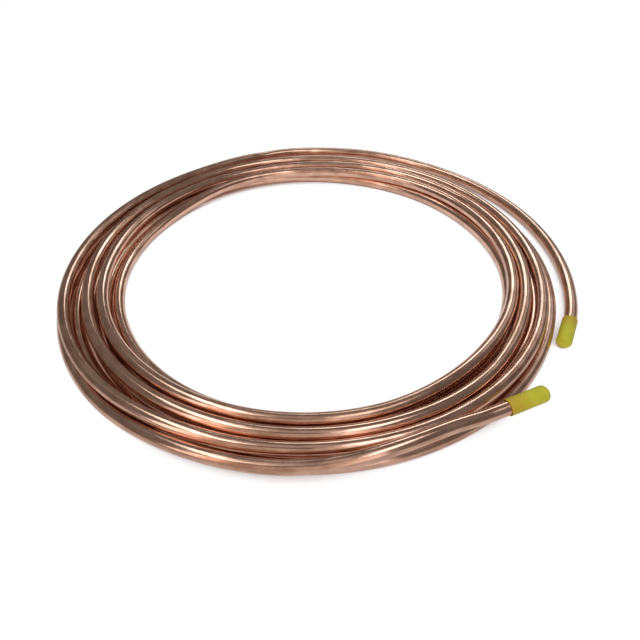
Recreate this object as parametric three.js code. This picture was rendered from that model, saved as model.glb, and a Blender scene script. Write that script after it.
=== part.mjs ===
// A coil of soft-drawn copper refrigeration tube, 1/4 in (6.35 mm) outside diameter and 20 ft
// (6.1 m) long, lying flat, with a push-on vinyl cap on each end.
//
// The tube is one piece, wound nearly eight times round in two layers. Its loose end lies
// outside the coil, and from there it climbs onto the top layer and runs inwards, turn by turn,
// to the bore. There it drops to the floor and comes back out as the bottom layer. At the rim it
// climbs again, and its rim end leaves the coil over the outermost turn.
//
// Millimetres, +Z up, floor at Z = 0. Winding angles are in degrees, anticlockwise from +X as
// seen from above. They keep counting past 360, so each angle names one place along the tube.

import * as THREE from "three";

// Driving dimensions of the tube.
const TUBE_OD = 6.35;
const TUBE_WALL = 0.762;
const TURN_GAP = 0.2; // clear space between turns that lie on each other

// Where the tube starts and ends, as winding angles.
const LOOSE_END_ANGLE = -22.1;
const RIM_END_ANGLE = 2824.7;

// Radius of the tube's centreline. It starts from START_RADIUS, and between each pair of winding
// angles in `turn` it moves out by `out`, or in where that is negative.
const START_RADIUS = 135.3;
const MOVES = [
  // The loose turn springs open from its bent end, then comes in over the rim.
  { turn: [-100, 90], out: 11.3 },
  { turn: [-34, -18], out: 3.2 },
  { turn: [60, 134], out: -14.9 },
  // The top layer runs inwards, past the bore's edge.
  { turn: [180, 280], out: -5.8 },
  { turn: [290, 380], out: -3.5 },
  { turn: [400, 450], out: 0.8 },
  { turn: [495, 565], out: -3.8 },
  { turn: [650, 705], out: -4.1 },
  { turn: [755, 820], out: -1.3 },
  { turn: [860, 905], out: -2.1 },
  { turn: [985, 1050], out: -3.2 },
  { turn: [1100, 1165], out: -3.5 },
  // The bottom layer runs outwards again.
  { turn: [1265, 1350], out: 2.7 },
  { turn: [1430, 1475], out: -1.1 },
  { turn: [1490, 1590], out: 5.1 },
  { turn: [1632, 1700], out: 2.7 },
  { turn: [1840, 1960], out: 4.3 },
  { turn: [1995, 2060], out: 2.3 },
  { turn: [2200, 2320], out: 5.2 },
  { turn: [2378, 2430], out: 4.1 },
  { turn: [2460, 2500], out: -1.7 },
  { turn: [2530, 2610], out: 4.7 },
  // The rim end swings in over the coil, then out across the rim.
  { turn: [2748, 2780], out: 1.3 },
  { turn: [2780, 2818], out: -3.5 },
  { turn: [2808, 2850], out: 17 },
];

// Where the tube changes layers, and where its ends rise off what they lie on.
const LOOSE_TURN_LIFT = { turn: [40, 95], up: 2.4 };
const CLIMB_AT_START = [68, 104];
const DROP_AT_BORE = [1185, 1240];
const CLIMB_AT_RIM = [2735, 2780];
const RIM_END_LIFTS = [
  { turn: [2775, 2812], up: 2.8 },
  { turn: [2816, 2834], up: 2.4 },
];

// Vinyl caps.
const CAP_LENGTH = 19;
const CAP_WALL = 0.3;
const CAP_FIT = 0.25; // clearance round the tube
const CAP_BORE_DEPTH = 16.5;
const CAP_SEAT = 9; // how far the tube enters the cap
const CAP_END_ROUND = 2.2;

// Facets.
const STEP_ANGLE = 10;
const TUBE_SIDES = 12;
const BORE_SIDES = 8;
const CAP_SIDES = 16;
const CAP_ROUND_POINTS = 4;

const TUBE_RADIUS = TUBE_OD / 2;
const PITCH = TUBE_OD + TURN_GAP;
const GROOVE_HEIGHT = (PITCH * Math.sqrt(3)) / 2; // three touching turns form a triangle
const CAP_BORE_RADIUS = TUBE_RADIUS + CAP_FIT;
const CAP_RADIUS = CAP_BORE_RADIUS + CAP_WALL;

// A level change that starts and ends smoothly: 0 before from, 1 after to, with no jump in
// slope or curvature.
function ease(angle, [from, to]) {
  return THREE.MathUtils.smootherstep(angle, from, to);
}

// Radius of the tube's centreline at a winding angle.
function coilRadius(angle) {
  let radius = START_RADIUS;
  for (const move of MOVES) {
    radius += move.out * ease(angle, move.turn);
  }
  return radius;
}

// Height of the bottom layer: on the floor, apart from the loose turn, which its cap holds up
// and which springs off the floor before it climbs.
function floorHeight(angle) {
  const { turn, up } = LOOSE_TURN_LIFT;
  const lift = CAP_RADIUS - TUBE_RADIUS + up * ease(angle, turn);
  return TUBE_RADIUS + lift * (1 - ease(angle, CLIMB_AT_START));
}

// Height of the top layer: in a groove between two turns of the bottom layer, or higher where
// it rides over one of them.
function topHeight(angle) {
  const radius = coilRadius(angle);
  const bottomLayer = [DROP_AT_BORE[1], CLIMB_AT_RIM[0]];
  let height = TUBE_RADIUS + GROOVE_HEIGHT;
  let below = bottomLayer[0] + THREE.MathUtils.euclideanModulo(angle - bottomLayer[0], 360);
  for (; below < bottomLayer[1]; below += 360) {
    const aside = Math.min(Math.abs(radius - coilRadius(below)), PITCH);
    height = Math.max(height, TUBE_RADIUS + Math.sqrt(PITCH ** 2 - aside ** 2));
  }
  return height;
}

// The tube's centreline, with a straight end inside each cap. Its stations are STEP_ANGLE apart
// in winding angle, so that the facets of neighbouring turns lie side by side.
class CoilLine extends THREE.Curve {
  constructor() {
    super();
    this.steps = Math.ceil((RIM_END_ANGLE - LOOSE_END_ANGLE) / STEP_ANGLE) + 2;
  }

  coilPoint(angle) {
    const radius = coilRadius(angle);
    const onTop =
      ease(angle, CLIMB_AT_START) - ease(angle, DROP_AT_BORE) + ease(angle, CLIMB_AT_RIM);
    const floor = floorHeight(angle);
    let height = floor + onTop * (topHeight(angle) - floor);
    for (const lift of RIM_END_LIFTS) {
      height += lift.up * ease(angle, lift.turn);
    }
    const turned = THREE.MathUtils.degToRad(angle);
    return new THREE.Vector3(radius * Math.cos(turned), radius * Math.sin(turned), height);
  }

  coilTangent(angle) {
    const ahead = this.coilPoint(angle + 0.05);
    return ahead.sub(this.coilPoint(angle - 0.05)).normalize();
  }

  getPoint(t) {
    const station = t * this.steps;
    if (station < 1) {
      const back = this.coilTangent(LOOSE_END_ANGLE).multiplyScalar((station - 1) * CAP_SEAT);
      return this.coilPoint(LOOSE_END_ANGLE).add(back);
    }
    if (station > this.steps - 1) {
      const out = station - this.steps + 1;
      const on = this.coilTangent(RIM_END_ANGLE).multiplyScalar(out * CAP_SEAT);
      return this.coilPoint(RIM_END_ANGLE).add(on);
    }
    return this.coilPoint(Math.min(LOOSE_END_ANGLE + (station - 1) * STEP_ANGLE, RIM_END_ANGLE));
  }

  getUtoTmapping(u) {
    return u;
  }

  // Frames that stay upright, so that a flat of the section faces straight down everywhere.
  computeFrenetFrames(segments) {
    const tangents = [];
    const normals = [];
    const binormals = [];
    const up = new THREE.Vector3(0, 0, 1);
    for (let i = 0; i <= segments; i++) {
      const tangent = this.getTangent(i / segments);
      const outward = new THREE.Vector3().crossVectors(tangent, up).normalize();
      tangents.push(tangent);
      normals.push(outward);
      binormals.push(new THREE.Vector3().crossVectors(tangent, outward));
    }
    return { tangents, normals, binormals };
  }
}

// Corners of a regular polygon whose flats touch a circle of the given radius. One flat faces
// each way along both axes.
function roundOutline(radius, sides, direction) {
  const corners = [];
  for (let i = 0; i < sides; i++) {
    const turned = (direction * 2 * Math.PI * (i + 0.5)) / sides;
    const corner = radius / Math.cos(Math.PI / sides);
    corners.push(new THREE.Vector2(corner * Math.cos(turned), corner * Math.sin(turned)));
  }
  return corners;
}

// The copper tube: a ring-shaped section drawn along the coil, open from end to end.
function copperTube(line) {
  const section = new THREE.Shape(roundOutline(TUBE_RADIUS, TUBE_SIDES, 1));
  section.holes.push(new THREE.Path(roundOutline(TUBE_RADIUS - TUBE_WALL, BORE_SIDES, -1)));
  const geometry = new THREE.ExtrudeGeometry(section, { steps: line.steps, extrudePath: line });
  const copper = new THREE.MeshStandardMaterial({ color: 0xb87350, roughness: 0.25, metalness: 1 });
  const mesh = new THREE.Mesh(geometry, copper);
  mesh.name = "copper_tube";
  return mesh;
}

// A vinyl cap, turned about +Y: its mouth is at the origin, and its closed end, with a rounded
// rim, points along +Y.
function capGeometry() {
  const corner = 1 / Math.cos(Math.PI / CAP_SIDES); // flats at the stated radii
  const rim = CAP_LENGTH - CAP_END_ROUND;
  const profile = [
    new THREE.Vector2(0, CAP_BORE_DEPTH),
    new THREE.Vector2(CAP_BORE_RADIUS * corner, CAP_BORE_DEPTH),
    new THREE.Vector2(CAP_BORE_RADIUS * corner, 0),
    new THREE.Vector2(CAP_RADIUS * corner, 0),
  ];
  for (let i = 0; i <= CAP_ROUND_POINTS; i++) {
    const turned = (Math.PI / 2) * (i / CAP_ROUND_POINTS);
    const radius = CAP_RADIUS - CAP_END_ROUND + CAP_END_ROUND * Math.cos(turned);
    profile.push(new THREE.Vector2(radius * corner, rim + CAP_END_ROUND * Math.sin(turned)));
  }
  profile.push(new THREE.Vector2(0, CAP_LENGTH));
  return new THREE.LatheGeometry(profile, CAP_SIDES, Math.PI / CAP_SIDES);
}

// A cap pushed onto the tube: mouth at `point`, closed end along `direction`.
function vinylCap(name, point, direction) {
  const vinyl = new THREE.MeshStandardMaterial({ color: 0xc3bb2c, roughness: 0.45, metalness: 0 });
  const mesh = new THREE.Mesh(capGeometry(), vinyl);
  mesh.name = name;
  mesh.position.copy(point);
  mesh.quaternion.setFromUnitVectors(new THREE.Vector3(0, 1, 0), direction);
  return mesh;
}

const line = new CoilLine();
const coil = new THREE.Group();
coil.add(copperTube(line));
coil.add(
  vinylCap(
    "loose_end_cap",
    line.coilPoint(LOOSE_END_ANGLE),
    line.coilTangent(LOOSE_END_ANGLE).negate(),
  ),
);
coil.add(
  vinylCap("rim_end_cap", line.coilPoint(RIM_END_ANGLE), line.coilTangent(RIM_END_ANGLE)),
);

// The origin is on the floor, under the middle of the whole coil's length and width.
const middle = new THREE.Box3().setFromObject(coil, true).getCenter(new THREE.Vector3());
coil.position.set(-middle.x, -middle.y, 0);

const part = new THREE.Group();
part.add(coil);

export default part;
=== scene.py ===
"""A coil of soft-drawn copper refrigeration tube, lying flat, with a vinyl cap on each end."""

import math

import bmesh
import bpy
import numpy as np
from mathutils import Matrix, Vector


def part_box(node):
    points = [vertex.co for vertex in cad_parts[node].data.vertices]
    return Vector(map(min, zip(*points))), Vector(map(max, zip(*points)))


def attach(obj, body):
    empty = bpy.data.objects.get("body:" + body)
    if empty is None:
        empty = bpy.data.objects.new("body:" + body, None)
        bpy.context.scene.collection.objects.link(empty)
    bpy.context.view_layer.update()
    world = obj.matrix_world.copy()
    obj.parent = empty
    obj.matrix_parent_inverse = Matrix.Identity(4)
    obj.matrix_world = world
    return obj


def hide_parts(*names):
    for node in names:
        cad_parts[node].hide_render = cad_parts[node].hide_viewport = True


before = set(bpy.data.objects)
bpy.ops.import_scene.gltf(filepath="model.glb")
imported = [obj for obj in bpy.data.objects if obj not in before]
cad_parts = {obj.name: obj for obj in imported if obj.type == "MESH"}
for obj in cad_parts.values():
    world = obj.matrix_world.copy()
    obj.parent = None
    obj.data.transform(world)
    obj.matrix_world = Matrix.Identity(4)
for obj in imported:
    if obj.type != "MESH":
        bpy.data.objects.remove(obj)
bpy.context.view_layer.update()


# ------------------------------------------------------------------------------ copper tube
# One length of soft-drawn copper tube, 1/4 in outside, wound nearly eight times round in two
# layers. From its loose end outside the coil it runs inwards as the top layer, drops to the
# floor at the bore, comes back out as the bottom layer, and leaves the coil over the rim.

TUBE_RADIUS = 0.003175
TUBE_WALL = 0.000762
PITCH = 0.00655  # between turns that lie on each other
GROOVE_HEIGHT = PITCH * math.sqrt(3) / 2
CAP_RADIUS = 0.003725  # the loose end's cap holds the loose turn off the floor
CAP_SEAT = 0.009  # how far the tube enters each cap

# Winding angles are in degrees, anticlockwise from +X, and keep counting past 360.
LOOSE_END_ANGLE = -22.1
RIM_END_ANGLE = 2824.7

# Each climb or drop is the angles that it starts and ends at, and a lift also says how far up.
LOOSE_TURN_LIFT = (40, 95, 0.0024)
CLIMB_AT_START = (68, 104)
DROP_AT_BORE = (1185, 1240)
CLIMB_AT_RIM = (2735, 2780)
RIM_END_LIFTS = ((2775, 2812, 0.0028), (2816, 2834, 0.0024))

# The radius moves between two angles, and the third number is how far out, or in if negative.
START_RADIUS = 0.1353
LOOSE_TURN = ((-100, 90, 0.0113), (-34, -18, 0.0032), (60, 134, -0.0149))
TOP_LAYER = (
    (180, 280, -0.0058),
    (290, 380, -0.0035),
    (400, 450, 0.0008),
    (495, 565, -0.0038),
    (650, 705, -0.0041),
    (755, 820, -0.0013),
    (860, 905, -0.0021),
    (985, 1050, -0.0032),
    (1100, 1165, -0.0035),
)
BOTTOM_LAYER = (
    (1265, 1350, 0.0027),
    (1430, 1475, -0.0011),
    (1490, 1590, 0.0051),
    (1632, 1700, 0.0027),
    (1840, 1960, 0.0043),
    (1995, 2060, 0.0023),
    (2200, 2320, 0.0052),
    (2378, 2430, 0.0041),
    (2460, 2500, -0.0017),
    (2530, 2610, 0.0047),
)
RIM_END = ((2748, 2780, 0.0013), (2780, 2818, -0.0035), (2808, 2850, 0.017))

TUBE_STEP = 1.5  # degrees of winding between two rings of the skin
TUBE_SIDES = 24
HALF_SPAN = 0.05  # degrees each way, over which the centreline's direction is taken
SHARP_ANGLE = 50  # degrees between faces, from which an edge stays sharp
POLE_SIZE = 0.000001  # points closer than this become one


def ease(angle, start, end):
    """0 before start, 1 after end, and 6t^5 - 15t^4 + 10t^3 between them, so that slope and
    curvature stay continuous."""
    t = np.clip((angle - start) / (end - start), 0, 1)
    return t**3 * (t * (6 * t - 15) + 10)


def coil_radius(angle):
    """Distance of the centreline from the coil's axis: the start radius plus each move's share,
    its distance times the ease across its winding angles."""
    radius = np.full_like(angle, START_RADIUS)
    for start, end, out in LOOSE_TURN + TOP_LAYER + BOTTOM_LAYER + RIM_END:
        radius = radius + out * ease(angle, start, end)
    return radius


def top_height(angle):
    """Centreline height of the top layer: the groove's, or r + sqrt(pitch^2 - aside^2) over each
    bottom turn that stands closer, so that two centrelines are never nearer than a pitch."""
    radius = coil_radius(angle)
    height = np.full_like(radius, TUBE_RADIUS + GROOVE_HEIGHT)
    first = DROP_AT_BORE[1] + np.mod(angle - DROP_AT_BORE[1], 360)
    for turn in range(math.ceil((CLIMB_AT_RIM[0] - DROP_AT_BORE[1]) / 360)):
        below = first + 360 * turn
        aside = np.abs(radius - coil_radius(below))
        over = TUBE_RADIUS + np.sqrt(np.maximum(PITCH**2 - aside**2, 0))
        height = np.where(below < CLIMB_AT_RIM[0], np.maximum(height, over), height)
    return height


def coil_line(angle):
    """Centreline points (radius cos a, radius sin a, height). The height blends the floor's and
    the top layer's by the eased climbs and drop, and adds the rim end's lifts."""
    radius, turned = coil_radius(angle), np.radians(angle)
    on_top = ease(angle, *CLIMB_AT_START) - ease(angle, *DROP_AT_BORE)
    on_top = on_top + ease(angle, *CLIMB_AT_RIM)
    start, end, up = LOOSE_TURN_LIFT
    lift = CAP_RADIUS - TUBE_RADIUS + up * ease(angle, start, end)
    floor = TUBE_RADIUS + lift * (1 - ease(angle, *CLIMB_AT_START))
    height = floor + on_top * (top_height(angle) - floor)
    for start, end, up in RIM_END_LIFTS:
        height = height + up * ease(angle, start, end)
    return np.stack([radius * np.cos(turned), radius * np.sin(turned), height], axis=-1)


def tube_rings(angles, radius, corners):
    """Rings round the centreline, with a straight end inside each cap. A ring's points are
    centre + radius (cos b out + sin b up), with out = direction x Z, up = out x direction and
    b at the given corners. The direction is the line's central difference at the angle."""
    centres = coil_line(angles)
    directions = coil_line(angles + HALF_SPAN) - coil_line(angles - HALF_SPAN)
    directions /= np.linalg.norm(directions, axis=1, keepdims=True)
    ends = (centres[:1] - CAP_SEAT * directions[:1], centres[-1:] + CAP_SEAT * directions[-1:])
    centres = np.concatenate([ends[0], centres, ends[1]])
    directions = np.concatenate([directions[:1], directions, directions[-1:]])
    out = np.cross(directions, [0.0, 0.0, 1.0])
    out /= np.linalg.norm(out, axis=1, keepdims=True)
    up = np.cross(out, directions)
    b = corners[None, :, None]
    rings = centres[:, None] + radius * (np.cos(b) * out[:, None] + np.sin(b) * up[:, None])
    return centres, directions, rings


def ring_piece(name, rings, along, girth, looped=True):
    """A piece with a closed skin over rings of points, whose faces point outwards. The last ring
    joins the first, or else the first and last ring shrink to a point, where the skin closes.
    The UV map holds each corner's distance along the piece and round it, in metres: along for
    its ring, and girth times its share of the way round."""
    count, sides = rings.shape[:2]
    around = np.arange(sides + 1) * girth / sides
    bands = count if looped else count - 1
    k, j = np.meshgrid(np.arange(bands), np.arange(sides), indexing="ij")
    next_k, next_j = (k + 1) % count, (j + 1) % sides
    corners = [(k, j, j), (next_k, j, j), (next_k, next_j, j + 1), (k, next_j, j + 1)]
    faces = np.stack([ring * sides + side for ring, side, _ in corners], axis=-1)
    uv = np.stack(
        [np.stack([along[ring], around[side]], axis=-1) for ring, _, side in corners], axis=-2
    )
    mesh = bpy.data.meshes.new(name)
    mesh.from_pydata(rings.reshape(-1, 3), [], faces.reshape(-1, 4).tolist())
    mesh.uv_layers.new(name="along_and_round")
    mesh.uv_layers[0].data.foreach_set("uv", uv.astype(np.float32).ravel())
    if not looped:
        merged = bmesh.new()
        merged.from_mesh(mesh)
        bmesh.ops.remove_doubles(merged, verts=merged.verts, dist=POLE_SIZE)
        merged.to_mesh(mesh)
        merged.free()
    mesh.shade_smooth()
    mesh.set_sharp_from_angle(angle=math.radians(SHARP_ANGLE))
    piece = bpy.data.objects.new(name, mesh)
    bpy.context.collection.objects.link(piece)
    return piece


# The coil's axis, found by laying the solid's own stations and corners over its box.
SOLID_STEP = 10
SOLID_SIDES = 12
stations = np.arange(LOOSE_END_ANGLE, RIM_END_ANGLE + SOLID_STEP, SOLID_STEP)
solid_corners = 2 * np.pi * (np.arange(SOLID_SIDES) + 0.5) / SOLID_SIDES
_, _, solid_rings = tube_rings(
    np.minimum(stations, RIM_END_ANGLE),
    TUBE_RADIUS / math.cos(math.pi / SOLID_SIDES),
    solid_corners,
)
axis_place = np.array(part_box("copper_tube")[0]) - solid_rings.min(axis=(0, 1))
axis_place[2] = 0

angles = np.append(np.arange(LOOSE_END_ANGLE, RIM_END_ANGLE, TUBE_STEP), RIM_END_ANGLE)
corners = 2 * np.pi * np.arange(TUBE_SIDES) / TUBE_SIDES - math.pi / 2  # seam underneath
centres, directions, outside = tube_rings(angles, TUBE_RADIUS, corners)
_, _, inside = tube_rings(angles, TUBE_RADIUS - TUBE_WALL, corners)
run = np.append(0, np.cumsum(np.linalg.norm(np.diff(centres, axis=0), axis=1)))
tube = ring_piece(
    "drawn_copper_tube",
    np.concatenate([outside, inside[::-1]]) + axis_place,
    np.concatenate([run, run[::-1]]),
    girth=2 * math.pi * TUBE_RADIUS,
)

# Bright drawn copper under a thin brown film, which lies in patches with small smudges on them.
# It carries the die's fine lines along the tube, the slight unevenness that bending by hand
# leaves, and a trace of drawing oil.
BRIGHT_COPPER = (0.92, 0.575, 0.435, 1)
BROWNED_COPPER = (0.62, 0.355, 0.25, 1)
OIL_COVER = 0.5
OIL_ROUGHNESS = 0.1

# Waves a metre along the tube and round it, and how many finer steps each pattern has.
PATCHES = (14, 55, 4)
SMUDGES = (90, 240, 3)
DIE_LINES = (5, 1300, 2)
BENDS = (42, 60, 1)

# A pattern's low and high places, and what they give.
PATCH_FILM = ((0.38, 0.66), (0.1, 0.75))
SMUDGE_FILM = ((0.4, 0.62), (-0.4, 0.5))
DIE_LINE_FILM = ((0.3, 0.7), (-0.1, 0.1))
PATCH_ROUGHNESS = ((0.35, 0.7), (0.16, 0.28))

# Strength, and height in metres.
BEND_RELIEF = (1.0, 0.00012)
DIE_LINE_RELIEF = (0.15, 0.00002)


class Finish:
    """The nodes of a material or of the room's walls, and what puts them together."""

    def __init__(self, owner):
        owner.use_nodes = True
        self.nodes = owner.node_tree.nodes
        self.link = owner.node_tree.links.new

    def add(self, kind, **values):
        """A new node, with each value set on its property or its socket of that name."""
        node = self.nodes.new(kind)
        for key, value in values.items():
            if hasattr(node, key):
                setattr(node, key, value)
            else:
                node.inputs[key].default_value = value
        return node

    def fill(self, sockets, sources):
        """Each source goes into its socket. It is another node's socket, or a plain value."""
        for socket, source in zip(sockets, sources):
            if isinstance(source, bpy.types.NodeSocket):
                self.link(source, socket)
            else:
                socket.default_value = source

    def noise(self, place, scale, detail):
        """Noise at a place, with scale waves a metre and so many finer steps."""
        node = self.add("ShaderNodeTexNoise", Scale=scale, Detail=detail)
        self.link(place, node.inputs["Vector"])
        return node.outputs["Fac"]

    def spread(self, source, seen, given):
        """source carried evenly from the range seen to the one given, and held at the ends."""
        node = self.add("ShaderNodeMapRange")
        sockets = (node.inputs[end] for end in ("From Min", "From Max", "To Min", "To Max"))
        self.fill(sockets, (*seen, *given))
        self.link(source, node.inputs["Value"])
        return node.outputs["Result"]

    def compute(self, operation, *sources):
        """One sum of the sources."""
        node = self.add("ShaderNodeMath", operation=operation)
        self.fill(node.inputs, sources)
        return node.outputs["Value"]

    def mix(self, share, first, second):
        """The first colour where share is 0, going over to the second where it is 1."""
        node = self.add("ShaderNodeMix", data_type="RGBA")
        self.fill((node.inputs[end] for end in ("Factor", "A", "B")), (share, first, second))
        return node.outputs["Result"]

    def relief(self, height, strength, depth, base=None):
        """The lean of a surface that height raises by up to depth, on top of a base's lean."""
        node = self.add("ShaderNodeBump", Strength=strength, Distance=depth)
        self.link(height, node.inputs["Height"])
        if base:
            self.link(base, node.inputs["Normal"])
        return node.outputs["Normal"]


drawn_copper = bpy.data.materials.new("drawn copper")
copper = Finish(drawn_copper)
tube_skin = copper.add("ShaderNodeUVMap", uv_map="along_and_round").outputs["UV"]


def stretched(along, around, detail):
    """Noise over the tube's skin, with so many waves a metre along it and round it."""
    scaled = copper.add("ShaderNodeMapping", Scale=(along, around, 1))
    copper.link(tube_skin, scaled.inputs["Vector"])
    return copper.noise(scaled.outputs["Vector"], 1.0, detail)


patches, smudges = stretched(*PATCHES), stretched(*SMUDGES)
die_lines, bends = stretched(*DIE_LINES), stretched(*BENDS)
marks = copper.compute(
    "ADD", copper.spread(smudges, *SMUDGE_FILM), copper.spread(die_lines, *DIE_LINE_FILM)
)
film = copper.compute("ADD", copper.spread(patches, *PATCH_FILM), marks)
lean = copper.relief(die_lines, *DIE_LINE_RELIEF, base=copper.relief(bends, *BEND_RELIEF))

shader = copper.nodes["Principled BSDF"]
shader.inputs["Metallic"].default_value = 1.0
shader.inputs["Coat Weight"].default_value = OIL_COVER
shader.inputs["Coat Roughness"].default_value = OIL_ROUGHNESS
copper.link(copper.mix(film, BRIGHT_COPPER, BROWNED_COPPER), shader.inputs["Base Color"])
copper.link(copper.spread(patches, *PATCH_ROUGHNESS), shader.inputs["Roughness"])
copper.link(lean, shader.inputs["Normal"])
tube.data.materials.append(drawn_copper)
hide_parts("copper_tube")
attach(tube, "root")


# ------------------------------------------------------------------------------- vinyl caps
# A cap of soft yellow vinyl, dip-moulded on a pin, pushed over each end of the tube to keep the
# bore clean. It is thin enough for the copper to show through near its mouth.

CAP_LENGTH = 0.019
CAP_BORE_RADIUS = 0.003425
CAP_BORE_DEPTH = 0.0165
CAP_END_ROUND = 0.0022
CAP_LIP_ROUND = 0.00012
CAP_SIDES = 48
ROUND_POINTS = 9
WALL_POINTS = 8
BORE_END_RING = 0.002  # radius of the ring round the middle of the bore's flat end
END_RING = 0.0008  # and of the closed end


def cap_profile():
    """Points (along the cap, from its axis), from the middle of the bore's end up the bore, over
    the mouth's lip, down the outside and round the closed end to its middle. The closed end's
    edge and the lip are quarter circles, r (1 - sin t) by r (1 - cos t)."""
    t = np.linspace(0, math.pi / 2, ROUND_POINTS)
    side, edge = 1 - np.sin(t), 1 - np.cos(t)
    bore_end = [[CAP_BORE_DEPTH, CAP_BORE_DEPTH], [0, BORE_END_RING]]
    bore = [np.linspace(CAP_BORE_DEPTH, 0, WALL_POINTS), np.full(WALL_POINTS, CAP_BORE_RADIUS)]
    lip = np.stack([CAP_LIP_ROUND * side, CAP_RADIUS - CAP_LIP_ROUND * edge])
    wall = np.stack(
        [
            np.linspace(0, 1, WALL_POINTS) * (CAP_LENGTH - CAP_END_ROUND),
            np.full(WALL_POINTS, CAP_RADIUS),
        ]
    )
    end = [CAP_LENGTH - CAP_END_ROUND * side, CAP_RADIUS - CAP_END_ROUND * edge]
    middle = [[CAP_LENGTH, CAP_LENGTH], [END_RING, 0]]
    return np.concatenate([bore_end, bore, lip[:, ::-1], wall[:, 1:-1], end, middle], axis=1)


# Plasticised vinyl, coloured through and only slightly clear. It clouds unevenly and has a
# satin skin.
CLEAR_VINYL = (0.98, 0.97, 0.08, 1)
CLOUDED_VINYL = (0.87, 0.85, 0.06, 1)
OVER_COPPER = (0.88, 0.67, 0.06, 1)  # where the tube shows through
VINYL_ROUGHNESS = 0.45
VINYL_IOR = 1.45
VINYL_CLEARNESS = 0.08

CLOUDS = (0.004, 3)  # size in metres, and how many finer steps the pattern has
CLOUD_SHARE = ((0.35, 0.65), (0, 1))
SHOW_THROUGH = ((0.006, 0.013), (1, 0))  # by metres from the mouth
RAGGED_BY = 0.006  # how far the clouds shift that
GRAIN = (0.0009, 2)
GRAIN_RELIEF = (0.3, 0.00004)

yellow_vinyl = bpy.data.materials.new("yellow vinyl")
vinyl = Finish(yellow_vinyl)
place = vinyl.add("ShaderNodeTexCoord").outputs["Object"]
cap_skin = vinyl.add("ShaderNodeUVMap", uv_map="along_and_round").outputs["UV"]


def mottle(size, detail):
    """Noise through the solid, with features of about the given size in metres."""
    return vinyl.noise(place, 1 / size, detail)


clouds = mottle(*CLOUDS)
cloudy = vinyl.mix(vinyl.spread(clouds, *CLOUD_SHARE), CLEAR_VINYL, CLOUDED_VINYL)
from_mouth = vinyl.add("ShaderNodeSeparateXYZ")
vinyl.link(cap_skin, from_mouth.inputs["Vector"])
ragged = vinyl.compute("MULTIPLY_ADD", clouds, RAGGED_BY, from_mouth.outputs["X"])
coloured = vinyl.mix(vinyl.spread(ragged, *SHOW_THROUGH), cloudy, OVER_COPPER)

shader = vinyl.nodes["Principled BSDF"]
shader.inputs["Roughness"].default_value = VINYL_ROUGHNESS
shader.inputs["IOR"].default_value = VINYL_IOR
shader.inputs["Transmission Weight"].default_value = VINYL_CLEARNESS
vinyl.link(coloured, shader.inputs["Base Color"])
vinyl.link(vinyl.relief(mottle(*GRAIN), *GRAIN_RELIEF), shader.inputs["Normal"])

# The station on the tube's line where the cap's mouth is, and its closed end's way along it.
for node_name, station, way in (("loose_end_cap", 1, -1), ("rim_end_cap", -2, 1)):
    mouth, direction = centres[station] + axis_place, directions[station] * way
    side = np.cross(direction, [0.0, 0.0, 1.0])
    side /= np.linalg.norm(side)
    up = np.cross(side, direction)
    along, out = cap_profile()
    b = 2 * np.pi * np.arange(CAP_SIDES) / CAP_SIDES
    spokes = np.cos(b)[:, None] * side + np.sin(b)[:, None] * up
    cap = ring_piece(
        f"vinyl_{node_name}",
        mouth + along[:, None, None] * direction + out[:, None, None] * spokes,
        along,
        girth=2 * math.pi * CAP_RADIUS,
        looped=False,
    )
    cap.data.materials.append(yellow_vinyl)
    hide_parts(node_name)
    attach(cap, "root")


# ------------------------------------------------------------------------- floor and backdrop
# A wide sheet of white paper under the coil, in a dim and warm room. It is seen as nearly pure
# white, with the coil's real shadow faint on it. In the slits between turns and close round the
# coil's foot, the paper's glow is painted dark and copper-coloured: painted shade, with a
# painted copper glow. The copper mirrors the paper about half as bright inside the coil, and
# much darker further out.

PAPER_REACH = 4
PAPER_DROP = 0.0002
PAPER_WHITE = (0.85, 0.85, 0.85, 1)
PAPER_ROUGHNESS = 0.9
SEEN_GLOW = 0.86  # share of a white that doesn't depend on the lamps
MIRRORED_GLOW = ((0.08, 0.17), (0.5, 0.1))  # that share in the copper, by metres from the middle
GLOW_LIGHT = 1.12
GLOW_WHITE = (1, 1, 1, 1)
# Painted shade with a painted copper glow: the paper's glow takes this colour in the slits and
# close under the coil.
PAINTED_SLIT_SHADE = (0.24, 0.09, 0.055, 1)  # in the slits, where only copper lights the paper
SLIT_REACH = 0.03
SLIT_SAMPLES = 8
SLIT_OPENNESS = ((0.18, 0.32), (0, 1))

sheet = bpy.data.meshes.new("paper_sheet")
sheet_corners = PAPER_REACH * np.array([(-1, -1), (1, -1), (1, 1), (-1, 1)])
sheet.from_pydata([(x, y, -PAPER_DROP) for x, y in sheet_corners.tolist()], [], [(0, 1, 2, 3)])
floor = bpy.data.objects.new("paper_sheet", sheet)
bpy.context.collection.objects.link(floor)

white_paper = bpy.data.materials.new("white paper")
paper = Finish(white_paper)
ray = paper.add("ShaderNodeLightPath").outputs
seen = paper.compute("MAXIMUM", ray["Is Camera Ray"], ray["Is Transmission Ray"])
away = paper.add("ShaderNodeVectorMath", operation="LENGTH")
paper.link(paper.add("ShaderNodeTexCoord").outputs["Object"], away.inputs[0])
mirrored = paper.spread(away.outputs["Value"], *MIRRORED_GLOW)
share = paper.compute(
    "MAXIMUM",
    paper.compute("MULTIPLY", seen, SEEN_GLOW),
    paper.compute("MULTIPLY", ray["Is Glossy Ray"], mirrored),
)
# Painted shade: the occlusion reading turns the glow from white to the painted slit shade
# wherever little is open round the paper.
slits = paper.add("ShaderNodeAmbientOcclusion", Distance=SLIT_REACH, samples=SLIT_SAMPLES)
openness = paper.spread(slits.outputs["AO"], *SLIT_OPENNESS)
glow = paper.add("ShaderNodeEmission", Strength=GLOW_LIGHT)
paper.link(paper.mix(openness, PAINTED_SLIT_SHADE, GLOW_WHITE), glow.inputs["Color"])

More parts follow.
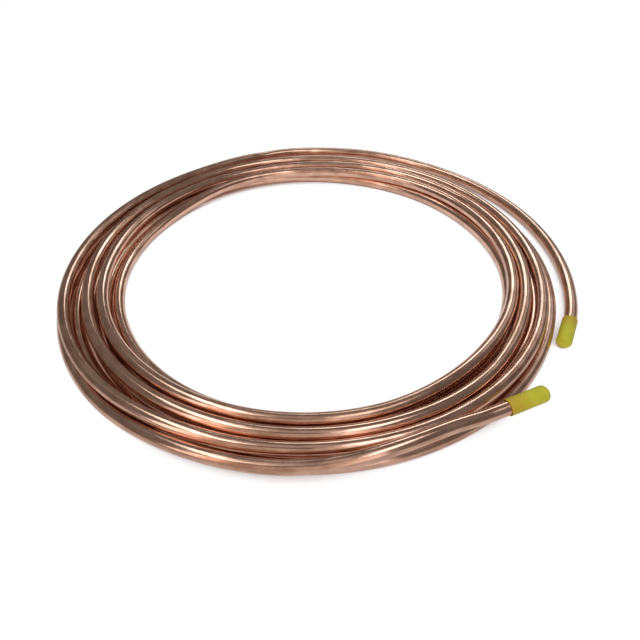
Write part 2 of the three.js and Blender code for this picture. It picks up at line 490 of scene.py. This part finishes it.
shader = paper.nodes["Principled BSDF"]
shader.inputs["Base Color"].default_value = PAPER_WHITE
shader.inputs["Roughness"].default_value = PAPER_ROUGHNESS
shader.inputs["Specular IOR Level"].default_value = 0.0
whiten = paper.add("ShaderNodeMixShader")
paper.fill(whiten.inputs, (share, shader.outputs["BSDF"], glow.outputs["Emission"]))
paper.link(whiten.outputs["Shader"], paper.nodes["Material Output"].inputs["Surface"])
sheet.materials.append(white_paper)

WALL_COLOUR = (1, 0.92, 0.87, 1)
WALL_LIGHT = 0.15
CEILING_LIGHT = 0.36
CEILING_EDGE = (0.93, 0.99)  # height of a direction of length 1, from wall to ceiling

room = bpy.data.worlds.new("dim_room")
bpy.context.scene.world = room
walls = Finish(room)
background = walls.nodes["Background"]
background.inputs["Color"].default_value = WALL_COLOUR
upward = walls.add("ShaderNodeSeparateXYZ")
walls.link(walls.add("ShaderNodeTexCoord").outputs["Generated"], upward.inputs["Vector"])
wall_light = walls.spread(upward.outputs["Z"], CEILING_EDGE, (WALL_LIGHT, CEILING_LIGHT))
walls.link(wall_light, background.inputs["Strength"])


# ------------------------------------------------------------------------------------- lamps
# Two softboxes hang over the coil, at its left and at its right front. Six tall ones stand
# upright round it and face it. Their mirror images are the bright lines on the copper.

# Each row gives a box's middle, its width and height, how bright its face is, where white paper
# looks white at 1, and its colour.
SOFTBOXES = (
    ("left_softbox", (-0.66, 0.14, 1.5), (0.38, 1.34), 2.7, (0.98, 1, 0.98)),
    ("right_softbox", (0.45, -0.60, 1.5), (0.46, 0.80), 2.4, (1, 1, 1)),
    ("back_softbox", (0.30, 1.45, 1.15), (0.80, 0.42), 2.6, (0.92, 1, 1)),
    ("corner_softbox", (1.30, 1.00, 1.25), (0.9, 1.1), 0.42, (1, 1, 1)),
    ("side_softbox", (-1.23, -0.88, 1.1), (0.34, 1.7), 1.6, (1, 0.97, 0.93)),
    ("warm_softbox", (-1.02, -1.11, 1.0), (0.28, 1.5), 1.15, (1, 0.60, 0.44)),
    ("front_softbox", (-0.25, -1.5, 1.0), (1.4, 2.0), 0.33, (1, 0.88, 0.78)),
    ("near_softbox", (0.47, -1.43, 1.2), (0.42, 2.4), 0.85, (1, 0.95, 0.90)),
)
HANGING_HEIGHT = 1.5

for name, middle, size, face, tint in SOFTBOXES:
    lamp = bpy.data.lights.new(name, "AREA")
    lamp.shape = "RECTANGLE"
    lamp.size, lamp.size_y = size
    lamp.energy = face * math.pi * lamp.size * lamp.size_y
    lamp.color = tint
    softbox = bpy.data.objects.new(name, lamp)
    bpy.context.collection.objects.link(softbox)
    softbox.location = middle
    if middle[2] < HANGING_HEIGHT:
        softbox.rotation_euler = (math.pi / 2, 0, math.atan2(middle[0], -middle[1]))


# ------------------------------------------------------------------------------------ camera
# It looks down on the coil from the side of its two ends, from close by. Its place is measured
# from the foot of the coil's axis.

CAMERA_PLACE = (0, -0.25289, 0.18891)
CAMERA_TURN = (48.0052, 0.7350, -1.7073)  # degrees
CAMERA_LENS = 30.099
NEAREST_SEEN = 0.01

camera_data = bpy.data.cameras.new("camera")
camera_data.lens = CAMERA_LENS
camera_data.clip_start = NEAREST_SEEN
camera = bpy.data.objects.new("camera", camera_data)
bpy.context.collection.objects.link(camera)
camera.location = axis_place + np.array(CAMERA_PLACE)
camera.rotation_euler = [math.radians(turn) for turn in CAMERA_TURN]
bpy.context.scene.camera = camera
bpy.context.scene.view_settings.view_transform = "Standard"
